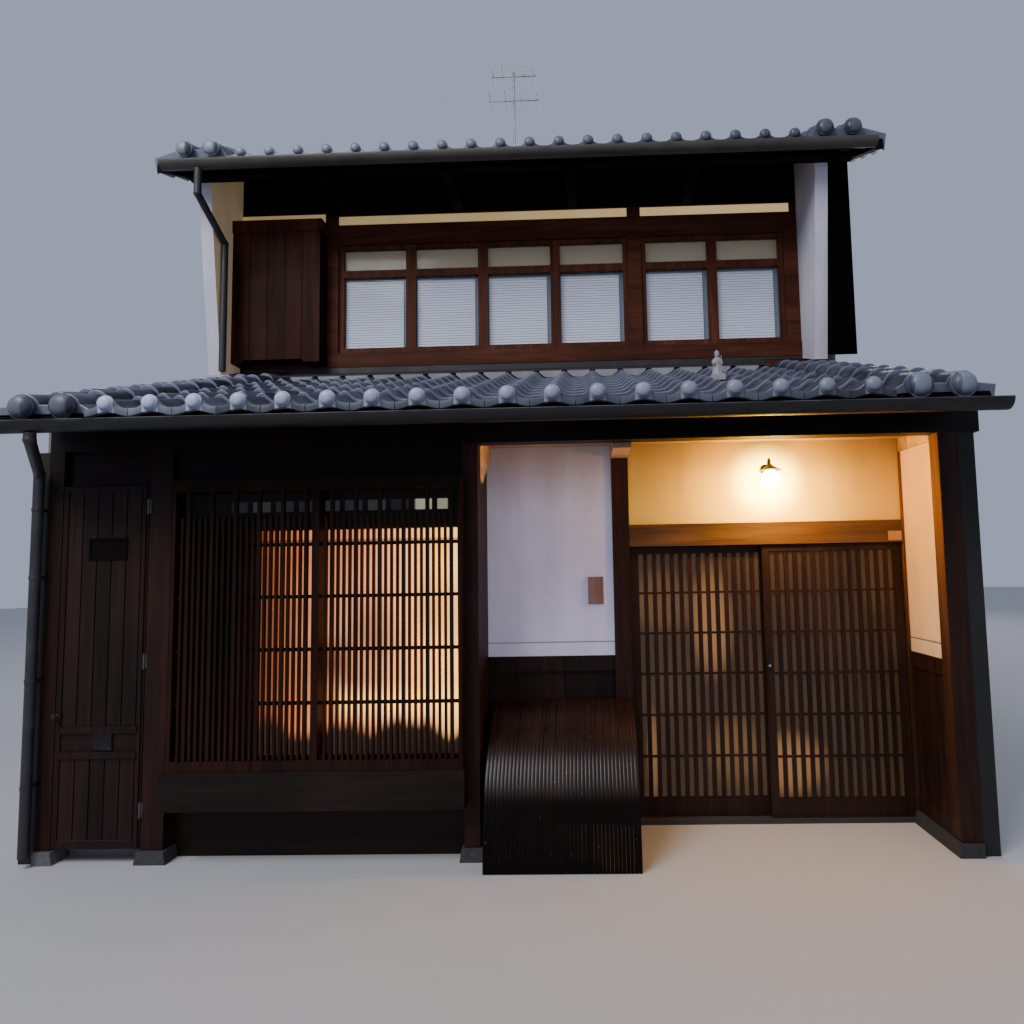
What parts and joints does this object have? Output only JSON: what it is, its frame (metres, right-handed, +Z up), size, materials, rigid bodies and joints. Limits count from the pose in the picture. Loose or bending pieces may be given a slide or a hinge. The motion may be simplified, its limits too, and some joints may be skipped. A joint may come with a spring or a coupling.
{
  "type": "timber townhouse",
  "caption": "Narrow two-storey timber town house with a lattice bay, sliding lattice entrance doors, a tiled pent roof over the street and a set-back upper storey.",
  "frame": {"origin": "middle of the plan on the ground, under the centre of the bounding box", "axes": "+X to the right along the street front as seen from the street, +Y from the street into the house, +Z up"},
  "size_m": [6.06, 9.526, 8.6143],
  "materials": {
    "aerial_metal": "dull",
    "bamboo": "weathered bamboo",
    "brown_timber": "oiled",
    "dark_timber": "stained and weathered",
    "door_glass": "frosted sheet glass",
    "grey_plaster": "trowelled grey plaster",
    "gutter_metal": "dark weathered paint",
    "iron": "blackened",
    "lamp_glass": "opal glass",
    "lime_plaster": "smooth lime plaster",
    "paper_screen": "translucent paper",
    "roof_tile": "smoked clay, half matt",
    "roof_timber": "raw and smoked",
    "stone": "rough split granite",
    "window_glass": "clear sheet glass"
  },
  "bodies": {
    "house": {"ground_floor": "stone", "upper_floor": "roof_timber", "base_stones": "stone", "party_wall_left": "grey_plaster", "party_wall_right": "grey_plaster", "rear_wall": "lime_plaster", "front_posts": "dark_timber", "front_beam": "dark_timber", "bay_transom": "dark_timber", "bay_frame": "dark_timber", "lattice_left": "dark_timber", "lattice_right": "dark_timber", "bay_skirt": "dark_timber", "bay_screens": "paper_screen", "bay_side_wall": "dark_timber", "panel_plaster": "lime_plaster", "panel_boards": "dark_timber", "entrance_lintel": "dark_timber", "entrance_ceiling": "dark_timber", "return_wall": "lime_plaster", "side_door_hinges": "iron", "pent_deck": "roof_timber", "pent_tiles": "roof_tile", "pent_flashing": "gutter_metal", "roof_mortar": "lime_plaster", "upper_frame": "dark_timber", "upper_plaster": "lime_plaster", "window_sashes": "brown_timber", "window_glass": "window_glass", "shutter_box": "dark_timber", "wing_walls": "lime_plaster", "side_screen": "dark_timber", "eave_arms": "dark_timber", "main_deck": "roof_timber", "eave_boards": "roof_timber", "main_tiles": "roof_tile", "main_ridge": "roof_tile", "eave_tiles": "roof_tile", "gutters": "gutter_metal", "downpipes": "gutter_metal", "bamboo_screen": "bamboo", "wall_lamp": "iron", "lamp_globe": "lamp_glass", "name_plate": "brown_timber", "roof_figure": "roof_tile", "aerial": "aerial_metal"},
    "door_left": {"door_left": "brown_timber", "door_left_glass": "door_glass"},
    "door_right": {"door_right": "brown_timber", "door_right_glass": "door_glass"},
    "side_door": {"side_door": "dark_timber"}
  },
  "joints": [
    {"name": "left_leaf_slide", "type": "slide", "parent": "house", "child": "door_left", "axis": [1, 0, 0], "range_m": [0, 0.85]},
    {"name": "right_leaf_slide", "type": "slide", "parent": "house", "child": "door_right", "axis": [-1, 0, 0], "range_m": [0, 0.85]},
    {"name": "side_door_hinge", "type": "hinge", "parent": "house", "child": "side_door", "pos_m": [-2.085, -4.2073, 1.15], "axis": [0, 0, 1], "range_deg": [0, 95]}
  ]
}
